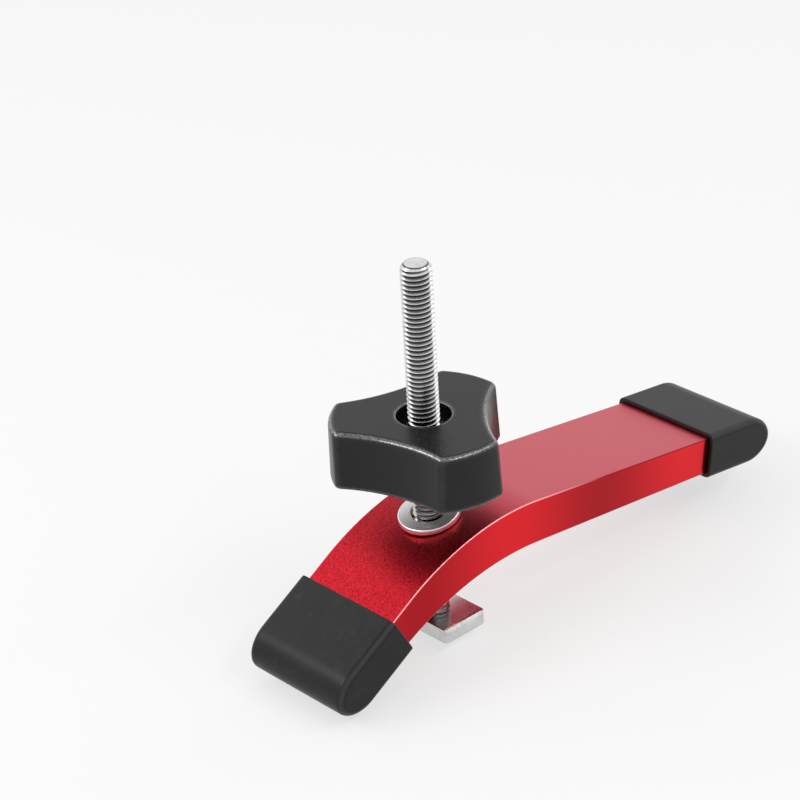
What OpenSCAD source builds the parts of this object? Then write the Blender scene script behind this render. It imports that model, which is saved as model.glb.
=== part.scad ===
// Hold-down clamp for a bench track: a bent, slotted bar that a knob pulls down on a T-bolt.
// The origin is the middle of the T-bolt's underside. +Z runs up the bolt, and +X to the toe.

/* [T-bolt] */
// Thread diameter of the bolt
bolt_d = 8; // [6:0.1:10]
// Thread pitch, which sets the chamfer at the bolt's free end
thread_pitch = 1.25; // [1:0.05:1.5]
// Length of the bolt from the underside of its head to its free end
bolt_l = 100.8; // [90:0.1:140]
// Length of the T-head, along the track
head_l = 23; // [18:0.5:30]
// Width of the T-head, across the track
head_w = 14; // [12:0.5:20]
// Thickness of the T-head
head_t = 4; // [2.5:0.1:6]
// Bevel on the T-head's corners and on its two end edges
head_bevel = 1.2; // [0.4:0.1:1.6]

/* [Arm] */
// Width of the bent bar
arm_w = 31; // [26:0.5:40]
// Thickness of the bar at the crest of its bend
arm_t = 12.3; // [9:0.1:14]
// Height of the crest above the bolt's underside
crest_z = 31.3; // [28:0.1:40]
// Distance of the crest from the bolt's axis, towards the toe
crest_x = 12.9; // [8:0.1:16]
// Radius of the bend on the upper face
bend_r = 70; // [60:1:85]
// Radius of the bend on the lower face
under_r = 79; // [70:1:95]
// Fall of the toe leg's upper face below level
toe_slope = 8.6; // [5:0.1:12]
// Angle by which the toe leg's two faces close towards its end
toe_taper = 1.6; // [0.5:0.1:2]
// Fall of the heel leg's upper face below level
heel_slope = 30; // [25:0.5:32]
// Angle by which the heel leg's two faces close towards its end
heel_taper = 1; // [0.2:0.1:1.5]
// Reach of the slot's end from the bolt's axis, towards the toe
slot_toe = 18.5; // [14:0.5:24]
// Reach of the slot's end from the bolt's axis, towards the heel
slot_heel = 6; // [5:0.5:8]

/* [End caps] */
// Distance of the toe cap's lip from the bolt's axis
toe_lip_x = 87.9; // [75:0.1:110]
// Distance of the heel cap's lip from the bolt's axis
heel_lip_x = 25.9; // [24:0.1:36]
// Length of a cap from its lip to the end of its nose
cap_l = 24.8; // [22:0.1:32]
// Length of bar that a cap covers
cap_grip = 17.5; // [12:0.5:18]
// Length of a cap's rounded nose, which is half an ellipse from the side
cap_nose = 8.5; // [5:0.1:10]
// Rubber over the sides and the faces of the bar
cap_wall = 1.5; // [0.8:0.1:2]
// Height of a cap
cap_h = 12.8; // [12:0.1:15]
// Radius on the long edges of a cap
cap_edge_r = 1.8; // [0.6:0.1:2.4]
// Radius on the two corners of the nose, seen from above
cap_corner_r = 2.4; // [1:0.1:5]

/* [Washer] */
// Outer diameter of the washer
washer_d = 16; // [14.5:0.1:18]
// Hole in the washer
washer_bore = 9; // [8.8:0.1:10]
// Thickness of the washer
washer_t = 1.6; // [1.2:0.1:2]

/* [Knob] */
// Diameter of the circle round the three lobes, at the knob's foot
knob_d = 48; // [44:0.2:60]
// Height of the knob
knob_h = 15.3; // [14:0.1:22]
// Height of the knob's foot above the bolt's underside
knob_z = 44.3; // [42:0.1:60]
// Direction of the first lobe, counter-clockwise from the toe
knob_turn = 16; // [0:1:119]
// Distance from the axis to the hollow between two lobes, at the knob's foot
waist_r = 16.4; // [14:0.1:17.5]
// Radius of the hollow between two lobes
scallop_r = 44; // [36:0.5:60]
// Draft of the walls between the lobes
scallop_draft = 3; // [1:0.1:6]
// Draft of the lobes' outer walls
lobe_draft = 1; // [0:0.1:2]
// Radius on the upright edges of a lobe
lobe_corner_r = 2.2; // [2:0.1:3.5]
// Radius on the upper rim
rim_r = 1.6; // [0.8:0.1:1.8]
// Hole in the top, which lets the bolt through
knob_hole = 13.8; // [12.6:0.1:15]
// Moulded wall round the hollow underside
knob_wall = 2.4; // [1.6:0.1:3.2]
// Moulded thickness over the hollow underside
knob_roof = 3; // [2:0.1:4]
// Radius on the upright corners of the hollow underside
core_corner_r = 1.2; // [0.8:0.1:2]
// Outer diameter of the hub in the middle of the underside
hub_d = 19; // [18:0.2:22]
// Thickness of a rib between the hub and the outer wall
rib_t = 2; // [1.2:0.1:3]
// Depth of the ribs' lower edges inside the knob's foot
rib_rise = 1; // [0.5:0.1:3]

/* [Threaded insert] */
// Outer diameter of the metal insert
insert_d = 12; // [11.4:0.1:12.5]
// Length of the metal insert
insert_l = 9.5; // [6:0.1:11]
// Depth of the groove round the insert's middle
insert_groove = 0.6; // [0.2:0.1:1]
// Width of that groove
insert_groove_w = 1.8; // [1:0.1:3]

/* [Fits] */
// Play of the bolt in the arm's slot, on each side
slot_play = 0.5; // [0.3:0.1:1]
// Play of the bolt in the threaded insert, on the radius
thread_play = 0.05; // [0.02:0.01:0.1]
// Play between the insert and its pocket, on the radius
insert_play = 0.05; // [0.02:0.01:0.1]
// Play between a rubber cap and the bar inside it
cap_play = 0.05; // [0.02:0.01:0.2]
// Gap between the washer and the crown of the bend
seat_gap = 0.2; // [0.1:0.05:0.4]

/* [Hidden] */
$fn = 96;
// Reach of a cutting shape beyond what it cuts
over = 1;

// The thread's depth, taken off the free end as a chamfer
end_chamfer = 0.6 * thread_pitch;

// A point on a circle, at an angle from straight up that grows towards the toe
function on_arc(c, r, a) = c + r * [sin(a), cos(a)];
// The point where the line through p along d meets the line through q with normal n
function meet(p, d, q, n) = p + d * (((q - p) * n) / (d * n));
// The unit vector that falls away towards +X at an angle, and the one towards -X
function to_toe(a) = [cos(a), -sin(a)];
function to_heel(a) = [-cos(a), -sin(a)];

// Centres of the bend's two arcs, seen from the side
top_c = [crest_x, crest_z - bend_r];
under_c = [crest_x, crest_z - arm_t - under_r];
toe_under = toe_slope - toe_taper;
heel_under = heel_slope - heel_taper;
toe_fall = (toe_slope + toe_under) / 2;
heel_fall = (heel_slope + heel_under) / 2;
// Tangent points of the legs, for a bar grown by g all round
function toe_up(g) = on_arc(top_c, bend_r + g, toe_slope);
function toe_dn(g) = on_arc(under_c, under_r - g, toe_under);
function heel_up(g) = on_arc(top_c, bend_r + g, -heel_slope);
function heel_dn(g) = on_arc(under_c, under_r - g, -heel_under);
// Middle of the bar's section at a distance along X
function toe_mid(x) =
    (meet(toe_up(0), to_toe(toe_slope), [x, 0], [1, 0])
     + meet(toe_dn(0), to_toe(toe_under), [x, 0], [1, 0])) / 2;
function heel_mid(x) =
    (meet(heel_up(0), to_heel(heel_slope), [x, 0], [1, 0])
     + meet(heel_dn(0), to_heel(heel_under), [x, 0], [1, 0])) / 2;
toe_lip = toe_mid(toe_lip_x);
heel_lip = heel_mid(-heel_lip_x);

// The washer lies on the bend's tangent at the bolt's axis
seat_tilt = asin(crest_x / bend_r);
seat_z = top_c[1] + bend_r * cos(seat_tilt);

module rounded_bar(len, wide, r) {
    square([len, wide - 2 * r], center = true);
    square([len - 2 * r, wide], center = true);
    for (x = [-1, 1], y = [-1, 1])
        translate([x * (len / 2 - r), y * (wide / 2 - r)])
            circle(r);
}

// Lay a side view, drawn as X and Z, into its plane and give it a width along Y
module across(width) {
    rotate([90, 0, 0])
        linear_extrude(width, center = true)
            children();
}

// The bar's side view, grown by g all round
module bar_side(g) {
    toe_end = toe_lip + (cap_grip + g) * to_toe(toe_fall);
    heel_end = heel_lip + (cap_grip + g) * to_heel(heel_fall);
    apex = meet(toe_up(g), to_toe(toe_slope), heel_up(g), [-sin(heel_slope), cos(heel_slope)]);
    difference() {
        polygon([
            meet(heel_up(g), to_heel(heel_slope), heel_end, to_heel(heel_fall)),
            apex,
            meet(toe_up(g), to_toe(toe_slope), toe_end, to_toe(toe_fall)),
            meet(toe_dn(g), to_toe(toe_under), toe_end, to_toe(toe_fall)),
            toe_dn(g),
            heel_dn(g),
            meet(heel_dn(g), to_heel(heel_under), heel_end, to_heel(heel_fall)),
        ]);
        translate(under_c)
            circle(under_r - g, $fn = 360);
        difference() {
            polygon([heel_up(g), apex + [0, over], toe_up(g)]);
            translate(top_c)
                circle(bend_r + g, $fn = 360);
        }
    }
}

module clamp_arm() {
    slot_w = bolt_d + 2 * slot_play;
    color([0.72, 0.04, 0.08])
        difference() {
            across(arm_w)
                bar_side(0);
            translate([(slot_toe - slot_heel) / 2, 0, crest_z - 2 * arm_t])
                linear_extrude(3 * arm_t) {
                    square([slot_toe + slot_heel - slot_w, slot_w], center = true);
                    for (s = [-1, 1])
                        translate([s * (slot_toe + slot_heel - slot_w) / 2, 0])
                            circle(d = slot_w);
                }
        }
}

// A rubber sleeve that starts at its lip at x = 0 and ends in its rounded nose
nose_steps = 28;
module cap_body() {
    cap_w = arm_w + 2 * (cap_wall + cap_play);
    intersection() {
        across(cap_w)
            polygon(concat(
                [[0, -cap_h / 2], [0, cap_h / 2]],
                [for (i = [0 : nose_steps])
                    let (a = 90 - 180 * i / nose_steps)
                    [cap_l - cap_nose * (1 - cos(a)), cap_h / 2 * sin(a)]]));
        translate([cap_l / 2 - cap_l, 0, 0])
            linear_extrude(cap_h + 2 * over, center = true)
                rounded_bar(3 * cap_l, cap_w, cap_corner_r);
        translate([-over, 0, 0])
            rotate([90, 0, 90])
                linear_extrude(cap_l + 2 * over)
                    rounded_bar(cap_w, cap_h, cap_edge_r);
    }
}

module bar_pocket() {
    across(arm_w + 2 * cap_play)
        bar_side(cap_play);
}

module toe_cap() {
    color([0.05, 0.05, 0.05])
        difference() {
            translate([toe_lip[0], 0, toe_lip[1]])
                rotate([0, toe_fall, 0])
                    cap_body();
            bar_pocket();
        }
}

module heel_cap() {
    color([0.05, 0.05, 0.05])
        difference() {
            translate([heel_lip[0], 0, heel_lip[1]])
                mirror([1, 0, 0])
                    rotate([0, heel_fall, 0])
                        cap_body();
            bar_pocket();
        }
}

module t_bolt() {
    color([0.78, 0.78, 0.76]) {
        intersection() {
            linear_extrude(head_t)
                polygon([for (s = [[1, 1], [-1, 1], [-1, -1], [1, -1]], k = [0, 1])
                    let (first = (s[0] * s[1] > 0) == (k == 0))
                    [s[0] * (head_w / 2 - (first ? 0 : head_bevel)),
                     s[1] * (head_l / 2 - (first ? head_bevel : 0))]]);
            rotate([90, 0, 90])
                linear_extrude(head_w + 2 * over, center = true)
                    polygon([
                        [-head_l / 2, 0],
                        [head_l / 2, 0],
                        [head_l / 2, head_t - head_bevel],
                        [head_l / 2 - head_bevel, head_t],
                        [-head_l / 2 + head_bevel, head_t],
                        [-head_l / 2, head_t - head_bevel],
                    ]);
        }
        rotate_extrude()
            polygon([
                [0, head_t / 2],
                [bolt_d / 2, head_t / 2],
                [bolt_d / 2, bolt_l - end_chamfer],
                [bolt_d / 2 - end_chamfer, bolt_l],
                [0, bolt_l],
            ]);
    }
}

module washer() {
    // Along the tilt, so that the bolt's axis meets the middle of the washer's hole
    shift = (seat_gap + washer_t / 2) * tan(seat_tilt);
    color([0.75, 0.75, 0.74])
        translate([0, 0, seat_z])
            rotate([0, -seat_tilt, 0])
                translate([shift, 0, seat_gap])
                    difference() {
                        cylinder(h = washer_t, d = washer_d);
                        translate([0, 0, -over])
                            cylinder(h = washer_t + 2 * over, d = washer_bore);
                    }
}

module knob_insert() {
    bore_r = bolt_d / 2 + thread_play;
    out_r = insert_d / 2;
    dip_r = out_r - insert_groove;
    low = (insert_l - insert_groove_w) / 2;
    high = (insert_l + insert_groove_w) / 2;
    color([0.72, 0.58, 0.3])
        translate([0, 0, knob_z])
            rotate_extrude()
                polygon([
                    [bore_r, 0],
                    [out_r, 0],
                    [out_r, low],
                    [dip_r, low],
                    [dip_r, high],
                    [out_r, high],
                    [out_r, insert_l],
                    [bore_r, insert_l],
                ]);
}

// Points along one third of the knob's outline at height z, drawn in by t, with its own corners.
// The lobe's arc, a corner, the hollow and the next corner follow each other.
lobe_steps = 8;
corner_steps = 5;
hollow_steps = 14;
function sweep_arc(c, r, a, b, n, first) =
    [for (i = [first : n]) c + r * [cos(a + (b - a) * i / n), sin(a + (b - a) * i / n)]];
function outline_third(z, t, corner) =
    let (
        lobe = knob_d / 2 - z * tan(lobe_draft) - t,
        hollow = scallop_r + t,
        hollow_c = (waist_r + scallop_r) - z * tan(scallop_draft),
        // The corner's centre lies inside the lobe's circle and outside the hollow's
        near = lobe - corner,
        far = hollow + corner,
        a = acos((near * near + hollow_c * hollow_c - far * far) / (2 * near * hollow_c)),
        c1 = near * [cos(60 - a), sin(60 - a)],
        c2 = near * [cos(60 + a), sin(60 + a)],
        hc = hollow_c * [cos(60), sin(60)],
        turn1 = atan2(hc[1] - c1[1], hc[0] - c1[0]),
        turn2 = atan2(hc[1] - c2[1], hc[0] - c2[0])
    )
    concat(
        sweep_arc([0, 0], lobe, a - 60, 60 - a, lobe_steps, 0),
        sweep_arc(c1, corner, 60 - a, turn1, corner_steps, 1),
        sweep_arc(hc, hollow, turn1 + 180, turn2 + 180 + (turn2 < turn1 ? 0 : -360),
                  hollow_steps, 1),
        sweep_arc(c2, corner, turn2, 60 + a - (turn2 < 0 ? 360 : 0), corner_steps, 1)
    );
function spin(p, a) = [p[0] * cos(a) - p[1] * sin(a), p[0] * sin(a) + p[1] * cos(a)];
function drop_last(v) = [for (i = [0 : len(v) - 2]) v[i]];
function outline(z, t, corner) =
    [for (k = [0 : 2], p = drop_last(outline_third(z, t, corner))) spin(p, 120 * k)];

// The solid inside a stack of outlines, lowest first
module skin(rings) {
    n = len(rings[0]);
    m = len(rings);
    points = [for (ring = rings, p = ring) p];
    sides = [for (j = [0 : m - 2], i = [0 : n - 1])
        let (a = j * n + i, b = j * n + (i + 1) % n)
        each [[a, a + n, b + n], [a, b + n, b]]];
    foot = [for (i = [0 : n - 1]) i];
    top = [for (i = [n - 1 : -1 : 0]) (m - 1) * n + i];
    polyhedron(points, concat(sides, [foot, top]), convexity = 6);
}

function ring_at(z, t) = [for (p = outline(z, t, lobe_corner_r - t)) [p[0], p[1], z]];

// The knob's outer form: drafted walls under a rounded rim, cut flat at its foot and top
module lobed_form() {
    rim_steps = 5;
    wide = knob_d + 2 * over;
    difference() {
        skin(concat(
            [ring_at(-over, 0)],
            [for (k = [0 : rim_steps])
                let (a = 90 * k / rim_steps)
                ring_at(knob_h - rim_r + rim_r * sin(a), rim_r * (1 - cos(a)))],
            [[for (p = ring_at(knob_h, rim_r)) p + [0, 0, over]]]));
        for (z = [-2 * over, knob_h])
            translate([-wide / 2, -wide / 2, z])
                cube([wide, wide, 2 * over]);
    }
}

// The hollow underside: the outline drawn in by the wall, less the hub and the ribs
module underside() {
    rib_reach = knob_d / 2;
    depth = knob_h - knob_roof;
    difference() {
        translate([0, 0, -over])
            linear_extrude(depth + over)
                polygon(outline(depth, knob_wall, core_corner_r));
        translate([0, 0, -2 * over])
            cylinder(h = depth + 4 * over, d = hub_d);
        for (k = [0 : 2], side = [0, 60])
            rotate(120 * k + side)
                translate([0, -rib_t / 2, rib_rise])
                    cube([rib_reach, rib_t, depth]);
        for (k = [0 : 2], side = [-1, 1])
            rotate(120 * k)
                translate([0, side * hub_d / 3 - rib_t / 2, rib_rise])
                    cube([rib_reach, rib_t, depth]);
    }
}

module knob() {
    color([0.06, 0.06, 0.06])
        translate([0, 0, knob_z])
            rotate(knob_turn)
                difference() {
                    lobed_form();
                    underside();
                    translate([0, 0, -over])
                        cylinder(h = insert_l + over, d = insert_d + 2 * insert_play);
                    translate([0, 0, insert_l])
                        cylinder(h = knob_h, d = knob_hole);
                }
}

t_bolt();
washer();
clamp_arm();
toe_cap();
heel_cap();
knob_insert();
knob();
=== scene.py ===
# %% [markdown]
# A hold-down clamp for a workbench, dressed for a product picture.
#
# The real clamp is a bent bar of red anodised aluminium with a rubber sleeve on each end. A bolt with a
# T-shaped head passes through a slot in the bar, and a three-lobed knob pulls the bar down on a washer.
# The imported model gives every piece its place, its size and its motion. This lesson models each visible
# piece again with finer edges, a real thread and procedural finishes, and leaves the places alone.

from math import acos, atan2, cos, pi, radians, sin, tan

import bmesh
import bpy
from mathutils import Matrix, Vector


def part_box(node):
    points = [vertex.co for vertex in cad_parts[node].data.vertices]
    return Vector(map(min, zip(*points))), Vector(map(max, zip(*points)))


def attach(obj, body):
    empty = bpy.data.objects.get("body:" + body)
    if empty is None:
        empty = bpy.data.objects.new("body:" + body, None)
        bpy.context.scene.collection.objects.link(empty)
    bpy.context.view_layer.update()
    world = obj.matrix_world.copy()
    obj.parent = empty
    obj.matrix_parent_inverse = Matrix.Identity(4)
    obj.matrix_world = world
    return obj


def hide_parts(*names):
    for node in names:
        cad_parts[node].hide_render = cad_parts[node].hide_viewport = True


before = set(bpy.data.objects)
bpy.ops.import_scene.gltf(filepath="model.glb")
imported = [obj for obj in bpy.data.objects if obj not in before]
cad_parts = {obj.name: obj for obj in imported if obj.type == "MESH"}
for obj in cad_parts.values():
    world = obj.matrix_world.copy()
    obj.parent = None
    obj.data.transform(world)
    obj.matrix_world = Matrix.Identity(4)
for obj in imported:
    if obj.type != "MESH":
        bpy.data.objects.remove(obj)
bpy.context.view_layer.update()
MM = 0.001
print("nodes:", sorted(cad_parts))

# %% [markdown]
# The camera comes first, because everything else is judged through it. The photograph was taken with a
# long lens from the left of the toe, a little above the knob, and with a slight tilt of the frame. The
# camera is described as a photographer would: what it looks at, from which side, how high and how far.

# %% Place the camera
CAMERA_AIM = Vector((5.4, 14.4, 56.0)) * MM
CAMERA_SIDE = radians(-42.0)
CAMERA_HEIGHT = radians(28.44)
CAMERA_TILT = radians(3.39)
CAMERA_DISTANCE = 718.5 * MM
CAMERA_CLIP = 10.0 * MM
SENSOR_MM = 36.0
LENS_MM = 128.7


def place_camera():
    """Look at the aim point from the photograph's side, height and distance."""
    towards = Vector((sin(CAMERA_SIDE) * cos(CAMERA_HEIGHT),
                      -cos(CAMERA_SIDE) * cos(CAMERA_HEIGHT),
                      sin(CAMERA_HEIGHT)))
    data = bpy.data.cameras.new("camera")
    data.lens = LENS_MM
    data.sensor_width = SENSOR_MM
    data.clip_start = CAMERA_CLIP
    camera = bpy.data.objects.new("camera", data)
    turn = towards.to_track_quat("Z", "Y").to_matrix().to_4x4()
    camera.matrix_world = (Matrix.Translation(CAMERA_AIM + CAMERA_DISTANCE * towards)
                           @ turn @ Matrix.Rotation(-CAMERA_TILT, 4, "Z"))
    bpy.context.scene.collection.objects.link(camera)
    bpy.context.scene.camera = camera
    return camera


camera = place_camera()
print("camera at", [round(v, 3) for v in camera.matrix_world.translation])

# %% [markdown]
# A product table is a pale sweep with large soft lamps. Two wide panels do most of the work: the one on
# the left and the one in front stand where the knob's round rim, the bar's near edge and the thread
# mirror them, and so draw the long gleams. The weak panels behind and on the right lift the far sides.
# The world gives light at a plain level, and looks white to the camera and in a gloss. The floor looks
# partly white in the same way, so that it stays pale and still takes the clamp's shadow.

# %% Light the table
WHITE = (1.0, 1.0, 1.0, 1.0)
WORLD_LIGHT = 0.60
WORLD_LOOK = 1.0
FLOOR_Z = -3.3 * MM
FLOOR_SIZE = 6.0
FLOOR_PAINT = (0.95, 0.95, 0.95, 1.0)
FLOOR_ROUGH = 0.9
FLOOR_WHITE = 0.62
LAMPS = {
    # name: place in metres, width, height, power in watts
    "lamp_left": ((-0.66, 0.40, 0.62), 0.60, 0.25, 2.8),
    "lamp_behind": ((-0.15, 0.78, 0.70), 0.35, 0.25, 0.5),
    "lamp_right": ((0.82, 0.05, 0.62), 0.35, 0.30, 0.35),
    "lamp_front": ((0.22, -0.62, 0.76), 0.80, 0.12, 2.0),
}


def add_lamp(name, place, width, height, power):
    """Hang a soft rectangular panel that faces the clamp."""
    data = bpy.data.lights.new(name, "AREA")
    data.shape = "RECTANGLE"
    data.size = width
    data.size_y = height
    data.energy = power
    lamp = bpy.data.objects.new(name, data)
    lamp.location = place
    lamp.rotation_euler = (Vector(place) - CAMERA_AIM).to_track_quat("Z", "Y").to_euler()
    bpy.context.scene.collection.objects.link(lamp)


def feed(links, socket, value):
    """Set a socket to a plain value, or link another node's output to it."""
    if isinstance(value, bpy.types.NodeSocket):
        links.new(value, socket)
    else:
        socket.default_value = value


def calculate(nodes, links, operation, *values):
    """One sum, product or the like. Each value is a number or another node's output."""
    node = nodes.new("ShaderNodeMath")
    node.operation = operation
    for socket, value in zip(node.inputs, values):
        feed(links, socket, value)
    return node.outputs[0]


def looked_at(nodes, links):
    """One where the camera, a gloss or a glass looks, and nothing where light is gathered."""
    path = nodes.new("ShaderNodeLightPath")
    seen = path.outputs["Is Camera Ray"]
    for kind in ("Is Glossy Ray", "Is Transmission Ray"):
        seen = calculate(nodes, links, "MAXIMUM", seen, path.outputs[kind])
    return seen


def paint_world():
    """A plain grey surround for light, and white where the camera or a gloss looks."""
    world = bpy.data.worlds.new("studio")
    world.use_nodes = True
    nodes, links = world.node_tree.nodes, world.node_tree.links
    nodes.clear()
    plain = nodes.new("ShaderNodeBackground")
    plain.inputs["Color"].default_value = WHITE
    plain.inputs["Strength"].default_value = WORLD_LIGHT
    white = nodes.new("ShaderNodeBackground")
    white.inputs["Color"].default_value = WHITE
    white.inputs["Strength"].default_value = WORLD_LOOK
    either = nodes.new("ShaderNodeMixShader")
    out = nodes.new("ShaderNodeOutputWorld")
    links.new(looked_at(nodes, links), either.inputs["Fac"])
    links.new(plain.outputs[0], either.inputs[1])
    links.new(white.outputs[0], either.inputs[2])
    links.new(either.outputs[0], out.inputs["Surface"])
    bpy.context.scene.world = world


def add_floor():
    """A plain pale sheet under the clamp, wide enough to fill the frame."""
    bpy.ops.mesh.primitive_plane_add(size=FLOOR_SIZE, location=(0.0, 0.0, FLOOR_Z))
    floor = bpy.context.object
    floor.name = "floor"
    paint = bpy.data.materials.new("pale floor")
    paint.use_nodes = True
    nodes, links = paint.node_tree.nodes, paint.node_tree.links
    sheet = nodes["Principled BSDF"]
    sheet.inputs["Base Color"].default_value = FLOOR_PAINT
    sheet.inputs["Roughness"].default_value = FLOOR_ROUGH
    sheet.inputs["Specular IOR Level"].default_value = 0.0
    white = nodes.new("ShaderNodeEmission")
    share = calculate(nodes, links, "MULTIPLY", looked_at(nodes, links), FLOOR_WHITE)
    blend = nodes.new("ShaderNodeMixShader")
    links.new(share, blend.inputs["Fac"])
    links.new(sheet.outputs[0], blend.inputs[1])
    links.new(white.outputs[0], blend.inputs[2])
    links.new(blend.outputs[0], nodes["Material Output"].inputs["Surface"])
    floor.data.materials.append(paint)


bpy.context.scene.view_settings.view_transform = "Standard"
paint_world()
add_floor()
for name, (place, width, height, power) in LAMPS.items():
    add_lamp(name, place, width, height, power)
print("lamps:", ", ".join(LAMPS))

# %% [markdown]
# Modelling by hand in Blender is a round of the same few moves: pick some vertices, edges or faces, then
# extrude, bevel, spin or slide them. In a script the picking is done by place, so these helpers turn
# "the edges along the top" into a selection and keep the rest of the lesson short. Two distances say
# what counts as the same place and as beside it, a third what is merged. Three angles say which edges
# are picked as sharp, which a Bevel modifier rounds, and which the shading keeps crisp.

# %% Helpers for modelling
NEAR = 0.01 * MM
CLOSE = 0.1 * MM
MERGE = 0.002 * MM
SHARP = radians(60)
ROUNDED = radians(40)
SMOOTH = radians(35)


def deselect():
    """Leave edit mode with nothing selected."""
    if bpy.context.mode != "OBJECT":
        bpy.ops.object.mode_set(mode="OBJECT")
    bpy.ops.object.select_all(action="DESELECT")


def only(obj):
    """Select one object and make it the active one."""
    deselect()
    bpy.context.view_layer.objects.active = obj
    obj.select_set(True)


def edit(obj):
    """Go into edit mode on one object."""
    only(obj)
    bpy.ops.object.mode_set(mode="EDIT")


def middle(part):
    """Where a vertex, edge or face lies."""
    if isinstance(part, bmesh.types.BMVert):
        return part.co
    if isinstance(part, bmesh.types.BMEdge):
        return (part.verts[0].co + part.verts[1].co) / 2
    return part.calc_center_median()


def pick(kind, test):
    """In edit mode, select the vertices, edges or faces that pass a test."""
    bpy.ops.mesh.select_mode(type=kind)
    bpy.ops.mesh.select_all(action="DESELECT")
    data = bpy.context.object.data
    shape = bmesh.from_edit_mesh(data)
    parts = {"VERT": shape.verts, "EDGE": shape.edges, "FACE": shape.faces}[kind]
    for part in [part for part in parts if test(part)]:
        part.select_set(True)
    bmesh.update_edit_mesh(data)


def sharp(edge):
    """Whether an edge's two faces meet at a clear angle. An open edge counts as flat."""
    return len(edge.link_faces) == 2 and edge.calc_face_angle() > SHARP


def level(part, height):
    """Whether a vertex, edge or face lies at a height."""
    return abs(middle(part).z - height) < NEAR


def select_whole():
    """In edit mode, select the whole mesh."""
    bpy.ops.mesh.select_all(action="SELECT")


def merge_points(distance):
    """In edit mode, make one of all points that nearly touch."""
    select_whole()
    bpy.ops.mesh.remove_doubles(threshold=distance)


def face_outwards():
    """In edit mode, turn every face of a closed mesh outwards."""
    select_whole()
    bpy.ops.mesh.normals_make_consistent(inside=False)


def apply_modifier(obj, kind, **values):
    """Add a modifier, set it and apply it."""
    only(obj)
    modifier = obj.modifiers.new(kind.lower(), kind)
    for key, value in values.items():
        setattr(modifier, key, value)
    bpy.ops.object.modifier_apply(modifier=modifier.name)


def join(first, second):
    """Put two objects' meshes into the first one."""
    only(first)
    second.select_set(True)
    bpy.ops.object.join()
    return first


def cut(obj, tool, how="DIFFERENCE"):
    """Take a tool's shape off a piece, or keep only what is inside it, and throw the tool away."""
    apply_modifier(obj, "BOOLEAN", operation=how, object=tool, solver="EXACT")
    bpy.data.objects.remove(tool)


def settle(obj):
    """Put a piece's place into its mesh, so that its object sits at the origin."""
    only(obj)
    bpy.ops.object.transform_apply(location=True, rotation=True, scale=True)


def smooth(obj, angle=SMOOTH):
    """Round the shading over gentle edges and keep it crisp over sharp ones."""
    only(obj)
    bpy.ops.object.shade_smooth_by_angle(angle=angle)
    apply_modifier(obj, "WEIGHTED_NORMAL", keep_sharp=True)


def put_finish(obj, finish):
    """Give a whole piece one material."""
    obj.data.materials.clear()
    obj.data.materials.append(finish)


def finish_piece(obj, finish, name, body, node):
    """Finish and name a piece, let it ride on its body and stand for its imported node."""
    put_finish(obj, finish)
    obj.name = name
    obj.data.name = name
    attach(obj, body)
    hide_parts(node)
    print(name, len(obj.data.polygons), "faces,",
          [round(v / MM, 1) for v in obj.dimensions], "mm")


# %% [markdown]
# Finishes share a few effects: a fine grain, as blasting or moulding leaves, a wear mask for edges that
# hands and other tools touch, and streaks drawn out along the piece, as drawing or rubbing leaves. Each
# effect is one node group with its own inputs. The groups give out only values, and every material
# keeps its own shader.

# %% Shared effects
BEVEL_SAMPLES = 4
TURN_STARTS = 0.995
TURN_FULL = 0.90


def new_group(name, inputs, outputs):
    """An empty node group with named float inputs and outputs."""
    group = bpy.data.node_groups.new(name, "ShaderNodeTree")
    for label, value in inputs.items():
        socket = group.interface.new_socket(label, in_out="INPUT", socket_type="NodeSocketFloat")
        socket.default_value = value
    for label in outputs:
        group.interface.new_socket(label, in_out="OUTPUT", socket_type="NodeSocketFloat")
    return group, group.nodes.new("NodeGroupInput"), group.nodes.new("NodeGroupOutput")


def fineness(nodes, links, size_mm):
    """The noise scale that gives a pattern of a size in millimetres."""
    return calculate(nodes, links, "DIVIDE", 1.0 / MM, size_mm)


def make_grain_group():
    """Noise in the piece's own millimetres: fine specks over broad, soft clouds."""
    group, given, out = new_group(
        "surface grain", {"Speck mm": 0.4, "Cloud mm": 12.0, "Cloud share": 0.3},
        ["Specks", "Clouds", "Both"])
    nodes, links = group.nodes, group.links
    place = nodes.new("ShaderNodeTexCoord")
    both = nodes.new("ShaderNodeMix")
    links.new(given.outputs["Cloud share"], both.inputs[0])
    for slot, label in ((2, "Speck"), (3, "Cloud")):
        noise = nodes.new("ShaderNodeTexNoise")
        noise.inputs["Detail"].default_value = 3.0
        links.new(place.outputs["Object"], noise.inputs["Vector"])
        links.new(fineness(nodes, links, given.outputs[label + " mm"]), noise.inputs["Scale"])
        links.new(noise.outputs["Fac"], both.inputs[slot])
        links.new(noise.outputs["Fac"], out.inputs[label + "s"])
    links.new(both.outputs[0], out.inputs["Both"])
    return group


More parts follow.
